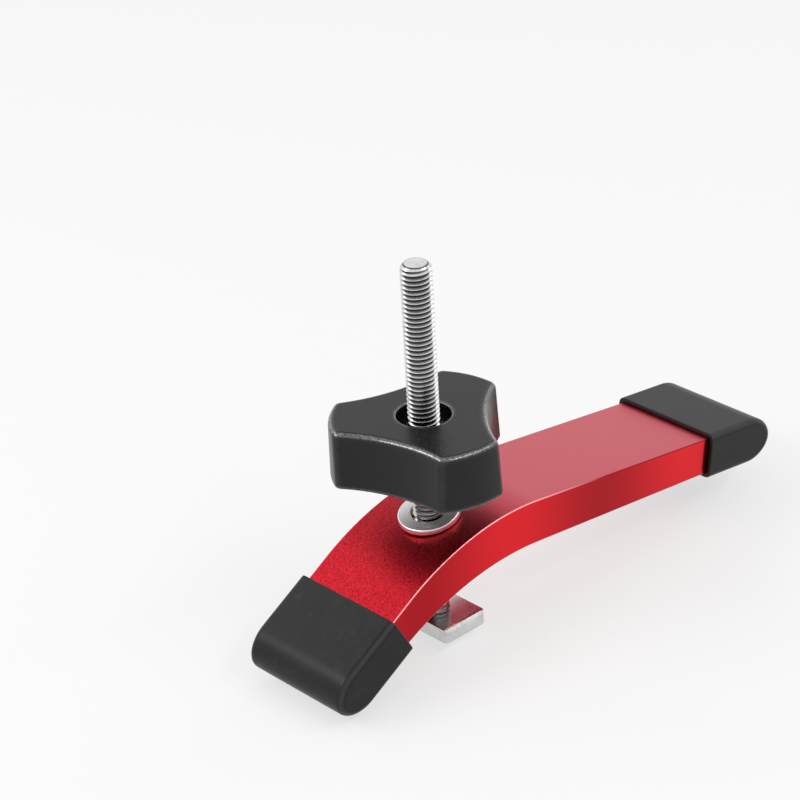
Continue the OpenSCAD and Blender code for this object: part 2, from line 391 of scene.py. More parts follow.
def make_wear_group():
    """Where a surface turns over an edge, broken up by noise: worn edges on rubber and plastic."""
    group, given, out = new_group(
        "edge wear", {"Radius mm": 0.5, "Break up mm": 1.5, "Strength": 1.0}, ["Mask"])
    nodes, links = group.nodes, group.links
    radius = calculate(nodes, links, "MULTIPLY", given.outputs["Radius mm"], MM)
    rounded = nodes.new("ShaderNodeBevel")
    rounded.samples = BEVEL_SAMPLES
    links.new(radius, rounded.inputs["Radius"])
    plain = nodes.new("ShaderNodeNewGeometry")
    same = nodes.new("ShaderNodeVectorMath")
    same.operation = "DOT_PRODUCT"
    links.new(rounded.outputs["Normal"], same.inputs[0])
    links.new(plain.outputs["True Normal"], same.inputs[1])
    ramp = nodes.new("ShaderNodeMapRange")
    ramp.inputs["From Min"].default_value = TURN_STARTS
    ramp.inputs["From Max"].default_value = TURN_FULL
    links.new(same.outputs["Value"], ramp.inputs["Value"])
    place = nodes.new("ShaderNodeTexCoord")
    noise = nodes.new("ShaderNodeTexNoise")
    links.new(place.outputs["Object"], noise.inputs["Vector"])
    links.new(fineness(nodes, links, given.outputs["Break up mm"]), noise.inputs["Scale"])
    broken = calculate(nodes, links, "MULTIPLY", ramp.outputs[0], noise.outputs["Fac"])
    mask = calculate(nodes, links, "MULTIPLY", broken, given.outputs["Strength"])
    links.new(mask, out.inputs["Mask"])
    return group


def make_streak_group():
    """Noise drawn out along X: the lines that drawing leaves on a bar, or long faint scuffs."""
    group, given, out = new_group(
        "drawn streaks", {"Length mm": 30.0, "Width mm": 0.5, "From": 0.5, "To": 0.7}, ["Mask"])
    nodes, links = group.nodes, group.links
    place = nodes.new("ShaderNodeTexCoord")
    parts = nodes.new("ShaderNodeSeparateXYZ")
    joined = nodes.new("ShaderNodeCombineXYZ")
    links.new(place.outputs["Object"], parts.inputs[0])
    for axis, label in (("X", "Length mm"), ("Y", "Width mm"), ("Z", "Width mm")):
        scale = fineness(nodes, links, given.outputs[label])
        scaled = calculate(nodes, links, "MULTIPLY", parts.outputs[axis], scale)
        links.new(scaled, joined.inputs[axis])
    noise = nodes.new("ShaderNodeTexNoise")
    noise.inputs["Scale"].default_value = 1.0
    noise.inputs["Detail"].default_value = 2.0
    links.new(joined.outputs[0], noise.inputs["Vector"])
    ramp = nodes.new("ShaderNodeMapRange")
    links.new(noise.outputs["Fac"], ramp.inputs["Value"])
    links.new(given.outputs["From"], ramp.inputs["From Min"])
    links.new(given.outputs["To"], ramp.inputs["From Max"])
    links.new(ramp.outputs[0], out.inputs["Mask"])
    return group


GRAIN = make_grain_group()
WEAR = make_wear_group()
STREAKS = make_streak_group()
print("groups:", [group.name for group in bpy.data.node_groups])

# %% [markdown]
# A material is built from the shader outwards. These small helpers add a group, a value range, a band,
# a blend of values or of colours, and a bump, so that each finish below reads as a list of what the
# surface has. A mask is a value from 0 to 1 that says where something shows.

# %% Helpers for finishes
def new_material(name, **sockets):
    """A material with one shader, whose plain numbers are set on its own sockets."""
    made = bpy.data.materials.new(name)
    made.use_nodes = True
    shader = made.node_tree.nodes["Principled BSDF"]
    for label, value in sockets.items():
        shader.inputs[label.replace("_", " ")].default_value = value
    return made, made.node_tree.nodes, made.node_tree.links, shader


def use_group(nodes, group, **values):
    """Place a shared effect with its own values."""
    node = nodes.new("ShaderNodeGroup")
    node.node_tree = group
    for label, value in values.items():
        node.inputs[label.replace("_", " ")].default_value = value
    return node


def spread(nodes, links, source, low, high, start=0.0, end=1.0):
    """Map a mask between start and end to a value between low and high."""
    node = nodes.new("ShaderNodeMapRange")
    node.inputs["From Min"].default_value = start
    node.inputs["From Max"].default_value = end
    node.inputs["To Min"].default_value = low
    node.inputs["To Max"].default_value = high
    links.new(source, node.inputs["Value"])
    return node.outputs[0]


def mix_value(nodes, links, mask, first, second):
    """Blend two values by a mask. Each value is a number or another node's output."""
    node = nodes.new("ShaderNodeMix")
    links.new(mask, node.inputs[0])
    feed(links, node.inputs[2], first)
    feed(links, node.inputs[3], second)
    return node.outputs[0]


def band(nodes, links, source, rise, fall):
    """A mask that climbs from 0 to 1 over the pair rise, and drops to 0 again over the pair fall."""
    up = spread(nodes, links, source, 0.0, 1.0, rise[0], rise[1])
    down = spread(nodes, links, source, 1.0, 0.0, fall[0], fall[1])
    return calculate(nodes, links, "MULTIPLY", up, down)


def split_axes(nodes, links, kind):
    """The X, Y and Z of a point on the piece, with kind Object, or of its normal, with kind Normal."""
    place = nodes.new("ShaderNodeTexCoord")
    parts = nodes.new("ShaderNodeSeparateXYZ")
    links.new(place.outputs[kind], parts.inputs[0])
    return parts.outputs


def facing(nodes, links, axis):
    """How much the surface's own normal lies along an axis, either way: 0 across it, 1 along it."""
    return calculate(nodes, links, "ABSOLUTE", split_axes(nodes, links, "Normal")[axis])


def mix_colour(nodes, links, mask, first, second):
    """Blend two colours by a mask. Each colour is a triple or another node's output."""
    node = nodes.new("ShaderNodeMix")
    node.data_type = "RGBA"
    links.new(mask, node.inputs[0])
    for slot, colour in ((6, first), (7, second)):
        feed(links, node.inputs[slot], (*colour, 1.0) if isinstance(colour, tuple) else colour)
    return node.outputs[2]


def add_bump(nodes, links, shader, height, strength, depth_mm):
    """Raise and dent the surface a little, in millimetres."""
    node = nodes.new("ShaderNodeBump")
    node.inputs["Strength"].default_value = strength
    node.inputs["Distance"].default_value = depth_mm * MM
    links.new(height, node.inputs["Height"])
    links.new(node.outputs[0], shader.inputs["Normal"])


# %% [markdown]
# The bar is drawn aluminium, blasted on its broad faces and dyed red under a clear oxide. The metal
# itself is red, and the oxide is a thin coat that adds a white sheen at a low angle. The blasting is
# coarse on the heel leg and fades out past the bend. On the heel leg its specks are painted dark and
# bright, a painted sparkle and a darker tone, while past the bend the top is an even, paler red. The sides
# are smoother, with fine lines along the bar and a painted reflection that deepens and lightens slowly
# along it. The soft edges between them carry a pale painted highlight near the heel, and a dark painted
# reflection towards the toe.

# %% Red anodised finish
# The two reds of the sides are the light and dark ends of a painted reflection that waves along the bar.
ARM_SIDE = (0.76, 0.014, 0.022)
ARM_SIDE_DEEP = (0.42, 0.006, 0.012)
# The top's even red past the bend is painted paler than the heel leg. The heel leg's dark and bright
# specks below paint a sparkle and a darker tone over the blasting grain, and the dark red also paints a
# dark reflection on the edges towards the toe.
ARM_RED = (0.53, 0.010, 0.040)
ARM_DEEP = (0.25, 0.002, 0.006)
ARM_PAINTED_SPARKLE = (0.54, 0.008, 0.022)
# A pale painted highlight for the soft edges near the heel.
ARM_PAINTED_EDGE_GLEAM = (0.86, 0.34, 0.36)
COARSE_END = 0.0 * MM
SMOOTH_START = 24.0 * MM
PALE_END = 48.0 * MM
# Where the painted reflection on the sides is lightest, and how long one wave of it is.
REFLECTION_PEAK = 14.0 * MM
REFLECTION_WAVE = 66.0 * MM
BLASTED_ROUGH = (0.32, 0.44)
DRAWN_ROUGH = (0.16, 0.24)
SMOOTH_COAT = 1.0
COARSE_COAT = 0.3
SIDE_COAT = 0.15


def painted_side_reflection(nodes, links, along_bar):
    """A painted reflection as a slow wave along the bar: 1 at its lightest and 0 half a wave away."""
    turn = spread(nodes, links, along_bar, 0.0, 2.0 * pi, REFLECTION_PEAK, REFLECTION_PEAK + REFLECTION_WAVE)
    turn.node.clamp = False
    return spread(nodes, links, calculate(nodes, links, "COSINE", turn), 0.0, 1.0, -1.0, 1.0)


def make_arm_finish():
    """Red metal under a clear oxide, grainy on the broad faces and smoother on the sides."""
    made, nodes, links, shader = new_material(
        "red anodised aluminium", Metallic=1.0, Coat_Roughness=0.30, Coat_IOR=1.3)
    grain = use_group(nodes, GRAIN, Speck_mm=0.45, Cloud_mm=22.0, Cloud_share=0.15)
    drawn = use_group(nodes, STREAKS, Length_mm=60.0, Width_mm=0.5, From=0.3, To=0.7)
    along_bar = split_axes(nodes, links, "Object")["X"]
    coarse = spread(nodes, links, along_bar, 1.0, 0.0, COARSE_END, SMOOTH_START)
    heel_gleam_share = spread(nodes, links, along_bar, 1.0, 0.0, SMOOTH_START, PALE_END)
    sideways = facing(nodes, links, "Y")
    side = spread(nodes, links, sideways, 0.0, 1.0, 0.6, 0.95)
    edge = band(nodes, links, sideways, (0.1, 0.35), (0.88, 0.97))

    # On the heel leg the blasting specks are painted dark and bright, a painted sparkle and darker tone.
    # Past the bend the top is an even, paler red.
    specks = spread(nodes, links, grain.outputs["Specks"], 0.0, 1.0, 0.35, 0.62)
    grain_and_sparkle = mix_colour(nodes, links, specks, ARM_DEEP, ARM_PAINTED_SPARKLE)
    top = mix_colour(nodes, links, coarse, ARM_RED, grain_and_sparkle)
    # The sides are painted with a slow wave of lighter and darker red: a painted reflection.
    painted_side_tone = mix_colour(nodes, links, painted_side_reflection(nodes, links, along_bar), ARM_SIDE_DEEP, ARM_SIDE)
    plain = mix_colour(nodes, links, side, top, painted_side_tone)
    # The soft edges are painted: a pale painted highlight near the heel, and a dark painted reflection
    # towards the toe.
    marked_tone = mix_colour(nodes, links, heel_gleam_share, ARM_DEEP, ARM_PAINTED_EDGE_GLEAM)
    links.new(mix_colour(nodes, links, edge, plain, marked_tone), shader.inputs["Base Color"])

    top_coat = mix_value(nodes, links, coarse, SMOOTH_COAT, COARSE_COAT)
    links.new(mix_value(nodes, links, side, top_coat, SIDE_COAT), shader.inputs["Coat Weight"])
    blasted_rough = spread(nodes, links, grain.outputs["Both"], *BLASTED_ROUGH)
    drawn_rough = spread(nodes, links, drawn.outputs["Mask"], *DRAWN_ROUGH)
    links.new(mix_value(nodes, links, side, blasted_rough, drawn_rough), shader.inputs["Roughness"])

    depth = spread(nodes, links, coarse, 0.25, 1.0)
    relief = calculate(nodes, links, "MULTIPLY", grain.outputs["Specks"], depth)
    lines = spread(nodes, links, drawn.outputs["Mask"], 0.5, 0.56)
    add_bump(nodes, links, shader, mix_value(nodes, links, side, relief, lines),
             strength=0.7, depth_mm=0.12)
    return made


arm_finish = make_arm_finish()
print(arm_finish.name, "has", len(arm_finish.node_tree.nodes), "nodes")

# %% [markdown]
# The bar's side view is two straight legs joined by a bend. Its upper and lower faces are separate arcs
# with centres of their own, because the legs close a little towards their ends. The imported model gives
# the width and the height of the crest, and the rest is worked out from a few radii and slopes.

# %% The bar's measures
BAR_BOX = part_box("clamp_arm")
ARM_WIDTH = BAR_BOX[1][1] - BAR_BOX[0][1]
CREST_X = 12.9 * MM
CREST_Z = BAR_BOX[1][2]
CREST_THICK = 12.3 * MM
BEND_R = 70.0 * MM
UNDER_R = 79.0 * MM
TOE_SLOPE = radians(8.6)
TOE_TAPER = radians(1.6)
HEEL_SLOPE = radians(30.0)
HEEL_TAPER = radians(1.0)
TOE_LIP_X = 87.9 * MM
HEEL_LIP_X = -25.9 * MM
CAP_GRIP = 17.5 * MM
BEND_STEPS = 48


def on_arc(centre, radius, lean):
    """A point on an arc in the side view, at an angle from straight up towards the toe."""
    return Vector((centre.x + radius * sin(lean), centre.y + radius * cos(lean)))


def along(start, slope, x):
    """Where a straight leg through a point is, at a place along X. A positive slope falls to the toe."""
    return Vector((x, start.y - (x - start.x) * tan(slope)))


TOP_CENTRE = Vector((CREST_X, CREST_Z - BEND_R))
UNDER_CENTRE = Vector((CREST_X, CREST_Z - CREST_THICK - UNDER_R))
TOE_TOP = on_arc(TOP_CENTRE, BEND_R, TOE_SLOPE)
TOE_UNDER = on_arc(UNDER_CENTRE, UNDER_R, TOE_SLOPE - TOE_TAPER)
HEEL_TOP = on_arc(TOP_CENTRE, BEND_R, -HEEL_SLOPE)
HEEL_UNDER = on_arc(UNDER_CENTRE, UNDER_R, HEEL_TAPER - HEEL_SLOPE)
TOE_FALL = TOE_SLOPE - TOE_TAPER / 2
HEEL_FALL = HEEL_SLOPE - HEEL_TAPER / 2
TOE_END_X = TOE_LIP_X + CAP_GRIP * cos(TOE_FALL)
HEEL_END_X = HEEL_LIP_X - CAP_GRIP * cos(HEEL_FALL)
print("bar from", round(HEEL_END_X / MM, 1), "to", round(TOE_END_X / MM, 1), "mm")

# %% [markdown]
# Each broad face is made as a strip: a plane for the toe leg, its edge spun round the bend's centre, and
# that edge pushed out along the heel leg. Spinning keeps the bend truly round, where bending a box would
# only come close.

# %% Make the bar's two faces
def make_strip(toe_start, toe_slope, centre, turn, heel_slope):
    """One broad face of the bar: toe leg, bend and heel leg, all the way across."""
    toe_end = along(toe_start, toe_slope, TOE_END_X)
    bpy.ops.mesh.primitive_plane_add(size=1.0)
    strip = bpy.context.object
    edit(strip)
    select_whole()
    bpy.ops.transform.resize(value=(1.0, ARM_WIDTH, 1.0), center_override=(0.0, 0.0, 0.0))
    for side, there in ((-0.5, toe_start), (0.5, toe_end)):
        pick("VERT", lambda v, side=side: abs(v.co.x - side) < CLOSE)
        bpy.ops.transform.translate(value=(there.x - side, 0.0, there.y))
    pick("EDGE", lambda e: abs(middle(e).x - toe_start.x) < NEAR)
    bpy.ops.mesh.spin(steps=BEND_STEPS, angle=turn,
                      center=(centre.x, 0.0, centre.y), axis=(0.0, 1.0, 0.0))
    heel_start = min(v.co.x for v in bmesh.from_edit_mesh(strip.data).verts)
    reach = heel_start - HEEL_END_X
    pick("EDGE", lambda e: abs(middle(e).x - heel_start) < NEAR)
    bpy.ops.mesh.extrude_region_move(
        TRANSFORM_OT_translate={"value": (-reach, 0.0, -reach * tan(heel_slope))})
    deselect()
    return strip


top_face = make_strip(TOE_TOP, TOE_SLOPE, TOP_CENTRE, TOE_SLOPE + HEEL_SLOPE, HEEL_SLOPE)
under_face = make_strip(TOE_UNDER, TOE_SLOPE - TOE_TAPER, UNDER_CENTRE,
                        TOE_SLOPE - TOE_TAPER + HEEL_SLOPE - HEEL_TAPER, HEEL_SLOPE - HEEL_TAPER)
print("strips of", len(top_face.data.polygons), "and", len(under_face.data.polygons), "faces")

# %% [markdown]
# Bridging the borders of the two strips makes the bar's sides and ends in one move, and a long round
# tool cuts the slot. The soft edge comes last. It isn't clamped, because the short faces along the bend
# would shrink it to nothing.

# %% Join the faces, cut the slot and soften the edges
SLOT_R = 4.5 * MM
SLOT_TOE = 18.5 * MM
SLOT_HEEL = -6.0 * MM
ARM_EDGE = 0.40 * MM

bar = join(top_face, under_face)
edit(bar)
pick("EDGE", lambda e: e.is_boundary)
bpy.ops.mesh.bridge_edge_loops()
face_outwards()
deselect()

bpy.ops.mesh.primitive_cylinder_add(vertices=96, radius=SLOT_R, depth=3 * CREST_THICK,
                                    location=(SLOT_HEEL + SLOT_R, 0.0, CREST_Z - CREST_THICK / 2))
slot_tool = bpy.context.object
settle(slot_tool)
edit(slot_tool)
pick("VERT", lambda v: v.co.x > SLOT_HEEL + SLOT_R + NEAR)
bpy.ops.transform.translate(value=(SLOT_TOE - SLOT_HEEL - 2 * SLOT_R, 0.0, 0.0))
deselect()
cut(bar, slot_tool)
apply_modifier(bar, "BEVEL", width=ARM_EDGE, segments=3, limit_method="ANGLE", angle_limit=ROUNDED,
               use_clamp_overlap=False)
smooth(bar)
finish_piece(bar, arm_finish, "arm_bar", "arm", "clamp_arm")

# %% [markdown]
# The rubber sleeves are moulded in a black compound with a slight bloom. Rubber is never quite even: it
# has broad clouds of lighter and darker grey, a very fine skin, faint long scuffs, rubbed round edges,
# and a painted highlight line where its round edges turn to the side.

# %% Black rubber finish
RUBBER_DARK = (0.006, 0.006, 0.006)
RUBBER_BLOOM = (0.019, 0.019, 0.018)
# Scuffs and rubbed edges, and also the painted highlight line along the side edges.
RUBBER_SCUFF_AND_SHEEN = (0.034, 0.034, 0.033)
RUBBER_ROUGH = (0.30, 0.42)


def make_rubber_finish():
    """Dull rubber with a cloudy bloom, faint scuffs, rubbed edges and a painted highlight line along the
    side edges.
    """
    made, nodes, links, shader = new_material("black rubber", Specular_IOR_Level=0.21)
    grain = use_group(nodes, GRAIN, Speck_mm=0.25, Cloud_mm=9.0, Cloud_share=0.6)
    worn = use_group(nodes, WEAR, Radius_mm=0.7, Break_up_mm=2.5, Strength=0.8)
    scuffs = use_group(nodes, STREAKS, Length_mm=14.0, Width_mm=2.2, From=0.54, To=1.20)
    # A band where the round edges turn to the side is painted lighter: a painted highlight line.
    corner = band(nodes, links, facing(nodes, links, "Y"), (0.3, 0.6), (0.85, 0.97))
    clouds = spread(nodes, links, grain.outputs["Both"], 0.1, 0.7, 0.3, 0.7)
    tone = mix_colour(nodes, links, clouds, RUBBER_DARK, RUBBER_BLOOM)
    with_painted_line = mix_colour(nodes, links, corner, tone, RUBBER_SCUFF_AND_SHEEN)
    marked_tone = mix_colour(nodes, links, worn.outputs["Mask"], with_painted_line, RUBBER_SCUFF_AND_SHEEN)
    scuffed = mix_colour(nodes, links, scuffs.outputs["Mask"], marked_tone, RUBBER_SCUFF_AND_SHEEN)
    links.new(scuffed, shader.inputs["Base Color"])
    links.new(spread(nodes, links, grain.outputs["Both"], *RUBBER_ROUGH), shader.inputs["Roughness"])
    add_bump(nodes, links, shader, grain.outputs["Specks"], strength=0.15, depth_mm=0.04)
    return made


rubber_finish = make_rubber_finish()
print(rubber_finish.name, "has", len(rubber_finish.node_tree.nodes), "nodes")

# %% [markdown]
# Each sleeve is a block whose front edges are rounded until they nearly meet in a half circle, which is
# then drawn out to the longer nose of the real sleeve. The outline edges are softened next, and the back
# is inset by the wall and pushed in to make the pocket for the bar. The sleeve is modelled lying along X
# with its lip at the origin, and is then laid on its own leg.

# %% Make the two sleeves
CAP_LENGTH = 24.76 * MM
CAP_NOSE = 8.46 * MM
CAP_HEIGHT = 12.8 * MM
CAP_PROUD = 1.55 * MM
CAP_PLAY = 0.06 * MM
CAP_EDGE = 1.8 * MM
CAP_LIP_EDGE = 0.3 * MM
NOSE_SHARE = 0.985
NOSE_PROFILE = 0.49
NOSE_STEPS = 20


def make_sleeve(bar_half, taper):
    """A sleeve for a bar of a given half thickness at its lip, with its nose towards +X."""
    straight = CAP_LENGTH - CAP_NOSE
    block = straight + CAP_HEIGHT / 2
    bpy.ops.mesh.primitive_cube_add(size=1.0, location=(block / 2, 0.0, 0.0))
    sleeve = bpy.context.object
    sleeve.scale = (block, ARM_WIDTH + 2 * CAP_PROUD, CAP_HEIGHT)
    settle(sleeve)
    edit(sleeve)
    pick("EDGE", lambda e: middle(e).x > block - CLOSE and abs(middle(e).y) < CLOSE)
    bpy.ops.mesh.bevel(offset=CAP_HEIGHT / 2 * NOSE_SHARE, segments=NOSE_STEPS, profile=NOSE_PROFILE,
                       affect="EDGES")
    pick("VERT", lambda v: v.co.x > straight)
    bpy.ops.transform.resize(value=(2 * CAP_NOSE / CAP_HEIGHT, 1.0, 1.0),
                             center_override=(straight, 0.0, 0.0))
    pick("EDGE", lambda e: sharp(e) and middle(e).x > CLOSE)
    bpy.ops.mesh.bevel(offset=CAP_EDGE, segments=6, affect="EDGES", clamp_overlap=False)
    pick("FACE", lambda f: f.normal.x < -0.9)
    bpy.ops.mesh.inset(thickness=CAP_HEIGHT / 2 - bar_half - CAP_PLAY)
    bpy.ops.mesh.extrude_region_move(TRANSFORM_OT_translate={"value": (CAP_GRIP, 0.0, 0.0)})
    closing = CAP_GRIP * tan(taper / 2) / bar_half
    bpy.ops.transform.resize(value=(1.0, 1.0, 1.0 - closing), center_override=(CAP_GRIP, 0.0, 0.0))
    pick("EDGE", lambda e: abs(middle(e).x) < NEAR and sharp(e))
    bpy.ops.mesh.bevel(offset=CAP_LIP_EDGE, segments=3, affect="EDGES")
    deselect()
    return sleeve


def fit_sleeve(name, top, under, slope, taper, lip_x, turn):
    """Make a sleeve for one leg and lay it there, with its lip at its place along X."""
    side = 1 if turn == 0.0 else -1
    high = along(top, side * slope, lip_x)
    low = along(under, side * (slope - taper), lip_x)
    fall = slope - taper / 2
    sleeve = make_sleeve((high.y - low.y) / 2 * cos(fall), taper)
    sleeve.matrix_world = (Matrix.Translation((lip_x, 0.0, (high.y + low.y) / 2))
                           @ Matrix.Rotation(turn, 4, "Z") @ Matrix.Rotation(fall, 4, "Y"))
    settle(sleeve)
    smooth(sleeve)
    finish_piece(sleeve, rubber_finish, name + "_sleeve", "arm", name)


fit_sleeve("toe_cap", TOE_TOP, TOE_UNDER, TOE_SLOPE, TOE_TAPER, TOE_LIP_X, 0.0)
fit_sleeve("heel_cap", HEEL_TOP, HEEL_UNDER, HEEL_SLOPE, HEEL_TAPER, HEEL_LIP_X, pi)

# %% [markdown]
# Bright zinc is a mirror that is a little uneven. The bolt's thread is rolled, so its crests keep a
# polish. Its roots are painted dark as painted shade, a ring round its flat end is painted darker, and
# the flanks that look down are painted grey as painted shade. The washer is turned and tumbled, which
# leaves satin rings.
# Both are round, so their patterns follow the distance from the axis.

# %% Zinc finishes
BOLT_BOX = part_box("t_bolt")
BOLT_TOP = BOLT_BOX[1][2]
BOLT_R = 4.0 * MM
HEAD_THICK = 4.0 * MM
PITCH = 1.25 * MM
THREAD_DEPTH = 0.61 * PITCH
ROOT_SHARE = 0.70
TOP_R = BOLT_R - THREAD_DEPTH - 0.3 * MM
TOP_RING = 0.15 * MM
TOP_BLUR = 0.35 * MM
TOP_START = BOLT_TOP - 1.0 * MM
TOP_END = BOLT_TOP - 0.8 * MM
ZINC = (0.76, 0.76, 0.755)
ZINC_DULL = (0.56, 0.56, 0.565)
# Painted shade for the thread's flanks that face down.
ZINC_UNDERSIDE_SHADE = (0.26, 0.26, 0.262)
# Painted shade in the thread's roots, and the darker ring round the flat end.
ZINC_ROOT = (0.05, 0.05, 0.052)
ZINC_ROUGH = (0.12, 0.26)
# How strongly the painted shade darkens the flanks that face down.
UNDERSIDE_SHADE_SHARE = 0.85
WASHER_PALE = (0.98, 0.98, 0.97)
WASHER_DULL = (0.84, 0.84, 0.84)
WASHER_ROUGH = (0.30, 0.42)
WASHER_RING = 0.22 * MM


def ring_radius(nodes, links):
    """The distance of a point from the piece's own Z axis."""
    place = nodes.new("ShaderNodeTexCoord")
    flat = nodes.new("ShaderNodeVectorMath")
    flat.operation = "MULTIPLY"
    flat.inputs[1].default_value = (1.0, 1.0, 0.0)
    links.new(place.outputs["Object"], flat.inputs[0])
    length = nodes.new("ShaderNodeVectorMath")
    length.operation = "LENGTH"
    links.new(flat.outputs[0], length.inputs[0])
    return length.outputs["Value"]


def make_bolt_finish():
    """Polished zinc, painted dark in the thread's roots and grey on the flanks that face down, both
    painted shade, with a darker ring round the flat end.
    """
    made, nodes, links, shader = new_material("bright zinc", Metallic=1.0)
    grain = use_group(nodes, GRAIN, Speck_mm=0.5, Cloud_mm=4.0, Cloud_share=0.5)
    mask = spread(nodes, links, grain.outputs["Both"], 0.0, 1.0, 0.35, 0.65)
    clean = mix_colour(nodes, links, mask, ZINC_DULL, ZINC)

    height = split_axes(nodes, links, "Object")["Z"]
    above = spread(nodes, links, height, 0.0, 1.0, HEAD_THICK, HEAD_THICK + CLOSE)
    below = spread(nodes, links, height, 1.0, 0.0, TOP_START, TOP_END)
    shank = calculate(nodes, links, "MULTIPLY", above, below)
    # The flanks that face down are painted grey: painted shade.
    up = split_axes(nodes, links, "Normal")["Z"]
    under = spread(nodes, links, up, UNDERSIDE_SHADE_SHARE, 0.0, -0.35, -0.05)
    underside_shade = calculate(nodes, links, "MULTIPLY", shank, under)
    marked_tone = mix_colour(nodes, links, underside_shade, clean, ZINC_UNDERSIDE_SHADE)

    # The thread's roots are painted dark as painted shade, and a ring round the flat end is painted
    # darker.
    radius = ring_radius(nodes, links)
    root = spread(nodes, links, radius, 1.0, 0.0,
                  BOLT_R - THREAD_DEPTH, BOLT_R - (1.0 - ROOT_SHARE) * THREAD_DEPTH)
    deep = calculate(nodes, links, "MULTIPLY", shank, root)
    ring = band(nodes, links, radius, (TOP_R - TOP_RING, TOP_R), (TOP_R + TOP_RING, TOP_R + TOP_BLUR))
    end = calculate(nodes, links, "MULTIPLY", ring, spread(nodes, links, below, 1.0, 0.0))
    root_shade_and_ring = calculate(nodes, links, "MAXIMUM", deep, end)
    links.new(mix_colour(nodes, links, root_shade_and_ring, marked_tone, ZINC_ROOT), shader.inputs["Base Color"])
    links.new(spread(nodes, links, grain.outputs["Both"], *ZINC_ROUGH), shader.inputs["Roughness"])
    add_bump(nodes, links, shader, grain.outputs["Specks"], strength=0.15, depth_mm=0.03)
    return made


def make_washer_finish():
    """Satin zinc over the fine rings that turning leaves."""
    made, nodes, links, shader = new_material("satin zinc", Metallic=1.0)
    grain = use_group(nodes, GRAIN, Speck_mm=0.3, Cloud_mm=4.0, Cloud_share=0.5)
    mask = spread(nodes, links, grain.outputs["Both"], 0.0, 1.0, 0.35, 0.65)
    links.new(mix_colour(nodes, links, mask, WASHER_DULL, WASHER_PALE), shader.inputs["Base Color"])
    links.new(spread(nodes, links, grain.outputs["Both"], *WASHER_ROUGH), shader.inputs["Roughness"])
    rings = nodes.new("ShaderNodeTexNoise")
    rings.noise_dimensions = "1D"
    rings.inputs["Scale"].default_value = 1.0 / WASHER_RING
    rings.inputs["Detail"].default_value = 2.0
    links.new(ring_radius(nodes, links), rings.inputs["W"])
    add_bump(nodes, links, shader, rings.outputs["Fac"], strength=0.5, depth_mm=0.05)
    return made


bolt_finish = make_bolt_finish()
washer_finish = make_washer_finish()
print(bolt_finish.name, "and", washer_finish.name)

# %% [markdown]
# The thread is a true helix, because rings would show where light runs along it. One V of it, a pitch
# high, is drawn as a line beside the axis, and a Screw modifier winds that line up the shank. The wound
# skin is sliced level at both ends and closed there.

# %% Wind the bolt's thread
TURN_STEPS = 48
LINE_STEPS = 16
LINE_STEP = PITCH / LINE_STEPS
CREST_STEPS = 1
ROOT_STEPS = 7
RUN_IN = 2 * PITCH
SPARE_TURNS = 3
THREAD_SUNK = 0.5 * PITCH
THREAD_PAST = 0.3 * PITCH
SLICE_NEAR = 0.0001 * MM


def draw_thread_line(start):
    """One pitch of the thread's outline: an upright edge, divided, with its middle pushed out."""
    centre = start + PITCH / 2
    bpy.ops.mesh.primitive_plane_add(size=PITCH, rotation=(pi / 2, 0.0, 0.0),
                                     location=(BOLT_R - THREAD_DEPTH + PITCH / 2, 0.0, centre))
    line = bpy.context.object
    settle(line)
    edit(line)
    pick("VERT", lambda v: v.co.x > BOLT_R - THREAD_DEPTH + PITCH / 2)
    bpy.ops.mesh.delete(type="VERT")
    select_whole()
    bpy.ops.mesh.subdivide(number_cuts=LINE_STEPS - 1)
    pick("VERT", lambda v: abs(v.co.z - centre) < (CREST_STEPS + 0.5) * LINE_STEP)
    bpy.ops.transform.translate(value=(THREAD_DEPTH, 0.0, 0.0))
    pick("VERT", lambda v: CREST_STEPS + 0.5 < abs(v.co.z - centre) / LINE_STEP < ROOT_STEPS - 0.5)
    bpy.ops.mesh.dissolve_verts()
    deselect()
    return line


def slice_level(height, **side):
    """In edit mode, slice the whole mesh at a height, clear one side and close the slice."""
    select_whole()
    bpy.ops.mesh.bisect(plane_co=(0.0, 0.0, height), plane_no=(0.0, 0.0, 1.0), use_fill=True,
                        threshold=SLICE_NEAR, **side)


def wind_thread():
    """Wind the line up past the free end, and close the skin at both ends."""
    start = HEAD_THICK - RUN_IN
    turns = int((BOLT_TOP - start) / PITCH) + SPARE_TURNS
    thread = draw_thread_line(start)
    apply_modifier(thread, "SCREW", axis="Z", steps=TURN_STEPS, render_steps=TURN_STEPS,
                   screw_offset=PITCH, iterations=turns)
    edit(thread)
    merge_points(MERGE)
    slice_level(HEAD_THICK - THREAD_SUNK, clear_inner=True)
    slice_level(BOLT_TOP + THREAD_PAST, clear_outer=True)
    face_outwards()
    deselect()
    return thread


thread = wind_thread()
print("thread of", len(thread.data.polygons), "faces")

# %% [markdown]
# The head is a flat forging with its corners taken off. At the free end only what lies inside a wide cone
# of 45 degrees is kept, so that the thread runs out on a chamfer as on a real bolt. That cut leaves a few
# slivers, which are merged away before the head and the shank are joined.

# %% Add the T head and chamfer the end
HEAD_LENGTH = BOLT_BOX[1][1] - BOLT_BOX[0][1]
HEAD_WIDTH = BOLT_BOX[1][0] - BOLT_BOX[0][0]
HEAD_BEVEL = 1.2 * MM
HEAD_EDGE = 0.25 * MM
THREAD_SMOOTH = radians(30)


